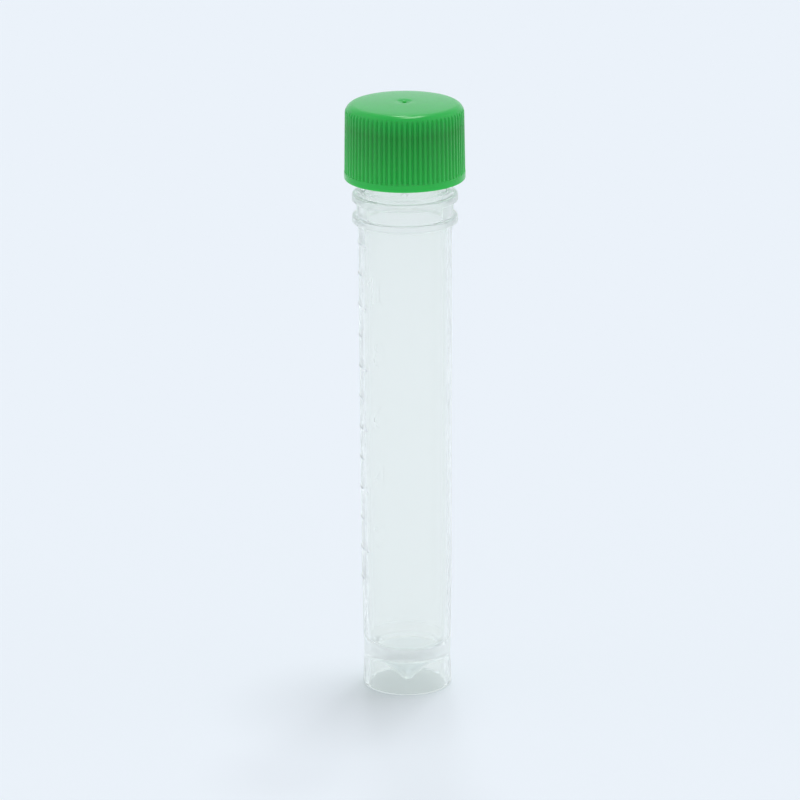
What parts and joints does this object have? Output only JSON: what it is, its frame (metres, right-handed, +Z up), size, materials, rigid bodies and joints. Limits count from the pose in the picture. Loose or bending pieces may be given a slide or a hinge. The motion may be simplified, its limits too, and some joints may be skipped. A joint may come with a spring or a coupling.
{
  "type": "cryovial",
  "caption": "Self-standing screw-cap cryovial: a frosted plastic tube with a cone bottom inside a round skirt, collars under the thread, raised graduations and a ribbed green cap.",
  "frame": {"origin": "centre of the ring that the tube stands on, at the bottom of the skirt", "axes": "+Z up along the tube, from the base to the cap; +X to the right of the graduations seen from the front, and -Y is the front"},
  "size_m": [0.021, 0.021, 0.1059],
  "materials": {
    "tube": "frosted natural polypropylene",
    "seal": "matte silicone",
    "cap": "satin green polyethylene"
  },
  "bodies": {
    "tube": {"tube": "tube"},
    "seal": {"seal": "seal"},
    "cap": {"cap": "cap"}
  },
  "joints": [
    {"name": "cap_lift", "type": "slide", "parent": "tube", "child": "seal", "axis": [0, 0, 1], "range_m": [0, 0.01201]},
    {"name": "cap_turn", "type": "hinge", "parent": "seal", "child": "cap", "pos_m": [0, 0, 0.0985], "axis": [0, 0, 1], "range_deg": [0, 1440]}
  ],
  "couplings": [
    {"joint": "cap_lift", "follows": "cap_turn", "m_per_rad": 0.00047746}
  ]
}
